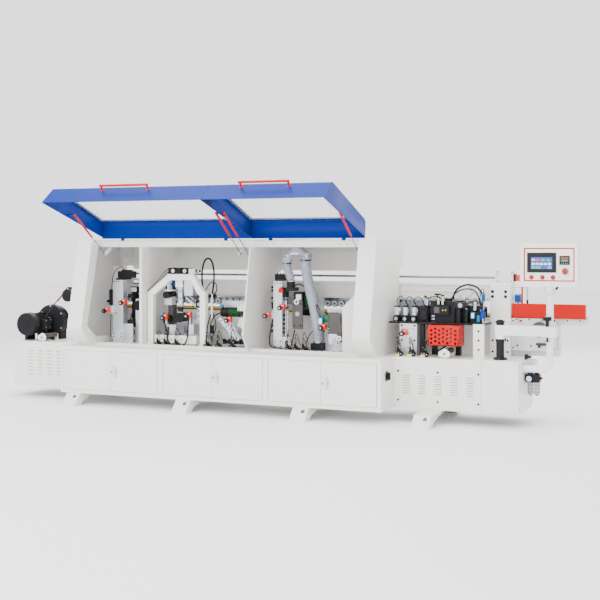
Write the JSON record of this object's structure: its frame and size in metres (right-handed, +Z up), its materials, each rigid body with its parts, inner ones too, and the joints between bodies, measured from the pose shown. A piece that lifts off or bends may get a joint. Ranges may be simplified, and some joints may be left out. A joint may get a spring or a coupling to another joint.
{
  "type": "edge banding machine",
  "caption": "Long free-standing edge banding machine with a chain conveyor, a pressure beam, working units behind two lifted see-through covers and a control panel on a post.",
  "frame": {"origin": "centre of the machine's bounding box on the floor plane", "axes": "+X along the machine from the outfeed end to the infeed end with the control panel, +Y from the operator's side to the rear where the boards run, +Z up"},
  "size_m": [5.68, 1.5742, 2.0965],
  "materials": {
    "white_paint": "satin powder coat",
    "inner_white": "satin powder coat",
    "blue_acrylic": "glossy blue, with a clear pane in the window",
    "red_paint": "gloss paint",
    "black_plastic": "moulded",
    "black_metal": "satin black",
    "chain_rubber": "ribbed pads",
    "grey_rubber": "rubber tread",
    "steel": "ground",
    "chrome": "polished",
    "aluminium": "milled",
    "grey_plastic": "moulded",
    "orange_plastic": "moulded",
    "red_plastic": "moulded",
    "hose_grey": "ribbed hose",
    "cable_black": "satin",
    "buff_cloth": "stitched cloth"
  },
  "bodies": {
    "frame": {"feet": "white_paint", "main_cabinet": "white_paint", "infeed_base": "white_paint", "outfeed_base": "white_paint", "hood": "white_paint", "conveyor_track": "inner_white", "conveyor_chain": "chain_rubber", "lift_columns": "inner_white", "drive_motor": "black_metal", "glue_unit": "black_metal", "strip_basket": "red_paint", "support_arm": "white_paint", "air_unit": "black_plastic", "panel_tube": "white_paint", "unit_stands": "aluminium", "unit_heads": "black_metal", "counters": "orange_plastic", "dust_manifold": "grey_plastic", "dust_hose_long": "hose_grey", "dust_hose_short": "hose_grey", "cable_loop_round": "cable_black", "cable_loop_infeed": "cable_black"},
    "beam": {"pressure_beam": "inner_white", "pressure_rollers": "grey_rubber"},
    "sync": {"sync_shaft": "steel"},
    "cover_l": {"cover_left": "blue_acrylic", "cover_handle_left": "red_paint"},
    "cover_r": {"cover_right": "blue_acrylic", "cover_handle_right": "red_paint"},
    "tubes_l": {"strut_tubes_left": "red_paint"},
    "rods_l": {"strut_rods_left": "chrome"},
    "tubes_r": {"strut_tubes_right": "red_paint"},
    "rods_r": {"strut_rods_right": "chrome"},
    "roller_out": {"outfeed_roller": "white_paint"},
    "roller_in": {"infeed_roller": "white_paint"},
    "press_1": {"press_roller_1": "grey_rubber"},
    "press_2": {"press_roller_2": "grey_rubber"},
    "press_3": {"press_roller_3": "grey_rubber"},
    "disc": {"strip_disc": "grey_plastic"},
    "fence": {"fence": "red_paint"},
    "knob": {"clamp_knob": "black_plastic"},
    "panel": {"control_panel": "white_paint"},
    "stop": {"stop_button": "red_plastic"},
    "key_a": {"key_1": "red_plastic"},
    "key_b": {"key_2": "red_plastic"},
    "key_c": {"key_3": "red_plastic"},
    "switch": {"main_switch": "black_plastic"},
    "carriage": {"trim_carriage": "black_metal"},
    "saw": {"trim_saw": "steel"},
    "arm": {"corner_arm": "black_metal"},
    "wheel": {"buff_wheel": "buff_cloth"},
    "door_1": {"door_1": "white_paint"},
    "door_2": {"door_2": "white_paint"},
    "door_3": {"door_3": "white_paint"},
    "door_4": {"door_4": "white_paint"},
    "door_5": {"door_5": "white_paint"},
    "door_6": {"door_6": "white_paint"},
    "latch_1": {"latch_1": "chrome"},
    "latch_2": {"latch_2": "chrome"},
    "latch_3": {"latch_3": "chrome"}
  },
  "joints": [
    {"name": "cover_left_hinge", "type": "hinge", "parent": "frame", "child": "cover_l", "pos_m": [-0.976, 0.2, 1.6], "axis": [1, 0, 0], "range_deg": [0, 98.5]},
    {"name": "cover_right_hinge", "type": "hinge", "parent": "frame", "child": "cover_r", "pos_m": [0.423, 0.2, 1.6], "axis": [1, 0, 0], "range_deg": [0, 98.5]},
    {"name": "strut_left_pivot", "type": "hinge", "parent": "cover_l", "child": "tubes_l", "pos_m": [-0.987, -0.38696, 1.83332], "axis": [1, 0, 0], "range_deg": [0, 21.63]},
    {"name": "strut_left_rod", "type": "slide", "parent": "tubes_l", "child": "rods_l", "axis": [0, -0.8055, 0.5926], "range_m": [0, 0.1346]},
    {"name": "strut_right_pivot", "type": "hinge", "parent": "cover_r", "child": "tubes_r", "pos_m": [0.423, -0.38696, 1.83332], "axis": [1, 0, 0], "range_deg": [0, 21.63]},
    {"name": "strut_right_rod", "type": "slide", "parent": "tubes_r", "child": "rods_r", "axis": [0, -0.8055, 0.5926], "range_m": [0, 0.1346]},
    {"name": "beam_lift", "type": "slide", "parent": "frame", "child": "beam", "axis": [0, 0, 1], "range_m": [-0.015, 0.03]},
    {"name": "sync_spin", "type": "hinge", "parent": "frame", "child": "sync", "pos_m": [0.05, 0.741, 1.253], "axis": [1, 0, 0], "range_deg": [-541, 1081]},
    {"name": "outfeed_roller_spin", "type": "hinge", "parent": "frame", "child": "roller_out", "pos_m": [-2.515, 0.261, 0.62], "axis": [0, 1, 0], "continuous": true},
    {"name": "infeed_roller_spin", "type": "hinge", "parent": "frame", "child": "roller_in", "pos_m": [1.718, 0.261, 0.62], "axis": [0, 1, 0], "continuous": true},
    {"name": "press_roller_1_spin", "type": "hinge", "parent": "frame", "child": "press_1", "pos_m": [1.198, 0.617, 0.94], "axis": [0, 0, 1], "continuous": true},
    {"name": "press_roller_2_spin", "type": "hinge", "parent": "frame", "child": "press_2", "pos_m": [1.28, 0.617, 0.94], "axis": [0, 0, 1], "continuous": true},
    {"name": "press_roller_3_spin", "type": "hinge", "parent": "frame", "child": "press_3", "pos_m": [1.362, 0.617, 0.94], "axis": [0, 0, 1], "continuous": true},
    {"name": "strip_disc_spin", "type": "hinge", "parent": "frame", "child": "disc", "pos_m": [2.45, 0.571, 0.808], "axis": [0, 1, 0], "continuous": true},
    {"name": "fence_slide", "type": "slide", "parent": "frame", "child": "fence", "axis": [0, 1, 0], "range_m": [-0.02, 0]},
    {"name": "clamp_knob_turn", "type": "hinge", "parent": "frame", "child": "knob", "pos_m": [2.59, 0.189, 0.86], "axis": [0, 0, 1], "range_deg": [-90, 360]},
    {"name": "panel_swivel", "type": "hinge", "parent": "frame", "child": "panel", "pos_m": [2.6, 0.256, 1.15], "axis": [0, 0, 1], "range_deg": [-90, 90]},
    {"name": "key_1_press", "type": "slide", "parent": "panel", "child": "key_a", "axis": [0, 1, 0], "range_m": [0, 0.0035], "stiffness_N_per_m": 400},
    {"name": "key_2_press", "type": "slide", "parent": "panel", "child": "key_b", "axis": [0, 1, 0], "range_m": [0, 0.0035], "stiffness_N_per_m": 400},
    {"name": "key_3_press", "type": "slide", "parent": "panel", "child": "key_c", "axis": [0, 1, 0], "range_m": [0, 0.0035], "stiffness_N_per_m": 400},
    {"name": "stop_press", "type": "slide", "parent": "panel", "child": "stop", "axis": [0, 1, 0], "range_m": [0, 0.006], "stiffness_N_per_m": 400},
    {"name": "door_1_hinge", "type": "hinge", "parent": "frame", "child": "door_1", "pos_m": [-2.008, -0.181, 0.34], "axis": [0, 0, -1], "range_deg": [0, 90]},
    {"name": "door_2_hinge", "type": "hinge", "parent": "frame", "child": "door_2", "pos_m": [-0.972, -0.181, 0.34], "axis": [0, 0, 1], "range_deg": [0, 90]},
    {"name": "door_3_hinge", "type": "hinge", "parent": "frame", "child": "door_3", "pos_m": [-0.892, -0.181, 0.34], "axis": [0, 0, -1], "range_deg": [0, 90]},
    {"name": "door_4_hinge", "type": "hinge", "parent": "frame", "child": "door_4", "pos_m": [0.116, -0.181, 0.34], "axis": [0, 0, 1], "range_deg": [0, 90]},
    {"name": "door_5_hinge", "type": "hinge", "parent": "frame", "child": "door_5", "pos_m": [0.194, -0.181, 0.34], "axis": [0, 0, -1], "range_deg": [0, 90]},
    {"name": "door_6_hinge", "type": "hinge", "parent": "frame", "child": "door_6", "pos_m": [1.2, -0.181, 0.34], "axis": [0, 0, 1], "range_deg": [0, 90]},
    {"name": "latch_1_turn", "type": "hinge", "parent": "door_2", "child": "latch_1", "pos_m": [-1.432, -0.189, 0.34], "axis": [0, 1, 0], "range_deg": [0, 90]},
    {"name": "latch_2_turn", "type": "hinge", "parent": "door_4", "child": "latch_2", "pos_m": [-0.337, -0.189, 0.34], "axis": [0, 1, 0], "range_deg": [0, 90]},
    {"name": "latch_3_turn", "type": "hinge", "parent": "door_6", "child": "latch_3", "pos_m": [0.747, -0.189, 0.34], "axis": [0, 1, 0], "range_deg": [0, 90]},
    {"name": "main_switch_turn", "type": "hinge", "parent": "frame", "child": "switch", "pos_m": [1.26, -0.039, 0.41], "axis": [1, 0, 0], "range_deg": [0, 90]},
    {"name": "trim_carriage_slide", "type": "slide", "parent": "frame", "child": "carriage", "axis": [1, 0, 0], "range_m": [-0.05, 0]},
    {"name": "trim_saw_spin", "type": "hinge", "parent": "carriage", "child": "saw", "pos_m": [0.316, 0.581, 0.94], "axis": [1, 0, 0], "continuous": true},
    {"name": "corner_arm_swing", "type": "hinge", "parent": "frame", "child": "arm", "pos_m": [-0.96, 0.261, 1.19], "axis": [0, 1, 0], "range_deg": [-2, 12]},
    {"name": "buff_wheel_spin", "type": "hinge", "parent": "frame", "child": "wheel", "pos_m": [-1.49, 0.518, 0.945], "axis": [0, 1, 0], "continuous": true}
  ],
  "couplings": [
    {"joint": "strut_left_pivot", "follows": "cover_left_hinge", "ratio": 0.21655},
    {"joint": "strut_left_rod", "follows": "cover_left_hinge", "m_per_rad": 0.077398},
    {"joint": "strut_right_pivot", "follows": "cover_right_hinge", "ratio": 0.21655},
    {"joint": "strut_right_rod", "follows": "cover_right_hinge", "m_per_rad": 0.077398},
    {"joint": "sync_spin", "follows": "beam_lift", "rad_per_m": 628.32}
  ]
}
